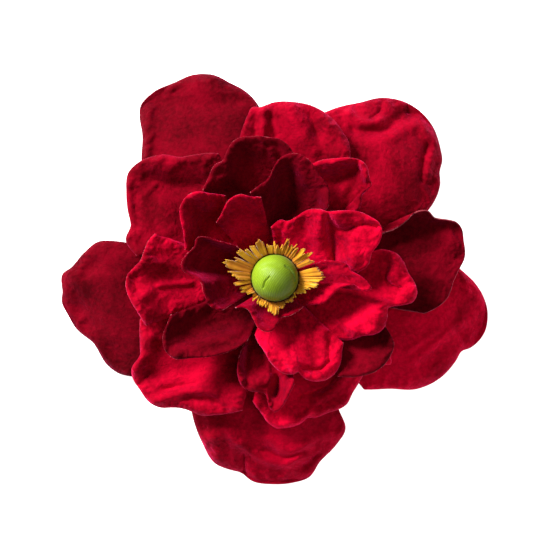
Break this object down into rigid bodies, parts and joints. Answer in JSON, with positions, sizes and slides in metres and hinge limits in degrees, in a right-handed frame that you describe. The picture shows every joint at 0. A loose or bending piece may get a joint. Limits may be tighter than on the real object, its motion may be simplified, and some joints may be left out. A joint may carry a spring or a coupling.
{
  "type": "flower hair clip",
  "caption": "Velvet flower hair clip: tiers of cupped fabric petals round a satin ball and stamen fringe, on a felt disc with a sprung alligator clip.",
  "frame": {"origin": "centre of the object's bounding box at its base, on the surface that the flower lies on", "axes": "+Z along the flower's axis, out of its face; +X along the clip, towards its gripping tip; +Y completes the frame"},
  "size_m": [0.1183, 0.1138, 0.0358],
  "materials": {
    "velvet": "deep crimson velvet with a short pile",
    "stamen_fabric": "crinkled mustard-yellow fringed cloth",
    "satin": "lime-green satin with a fine diagonal weave",
    "foam": "plain white foam",
    "thread": "green sewing thread",
    "tape": "wound green florist tape",
    "glue": "set hot-melt glue",
    "felt": "dark red felt",
    "clip_steel": "pressed and nickel-plated steel"
  },
  "bodies": {
    "flower": {"ball_core": "foam", "ball_skin": "satin", "clip_glue": "glue", "clip_plate": "clip_steel", "felt_backing": "felt", "fourth_petal_1": "velvet", "fourth_petal_2": "velvet", "fourth_petal_3": "velvet", "fourth_petal_4": "velvet", "fourth_petal_5": "velvet", "glue_pad": "glue", "hinge_pin": "clip_steel", "inner_petal_1": "velvet", "inner_petal_2": "velvet", "inner_petal_3": "velvet", "inner_petal_4": "velvet", "inner_petal_5": "velvet", "neck_thread": "thread", "outer_petal_1": "velvet", "outer_petal_2": "velvet", "outer_petal_3": "velvet", "outer_petal_4": "velvet", "outer_petal_5": "velvet", "second_petal_1": "velvet", "second_petal_2": "velvet", "second_petal_3": "velvet", "second_petal_4": "velvet", "second_petal_5": "velvet", "stamen_strip_bottom": "stamen_fabric", "stamen_strip_left": "stamen_fabric", "stamen_strip_right": "stamen_fabric", "stamen_strip_top": "stamen_fabric", "stem_tape": "tape", "stem_wire": "clip_steel", "third_petal_1": "velvet", "third_petal_2": "velvet", "third_petal_3": "velvet", "third_petal_4": "velvet", "third_petal_5": "velvet", "torsion_spring": "clip_steel"},
    "jaw": {"clip_jaw": "clip_steel"}
  },
  "joints": [
    {"name": "clip_jaw_hinge", "type": "hinge", "parent": "flower", "child": "jaw", "pos_m": [-0.008, 0, 0.0069], "axis": [0, 1, 0], "range_deg": [0, 25], "stiffness_Nm_per_rad": 0.12, "springref_deg": -28.65, "deforming": ["torsion_spring"]}
  ]
}
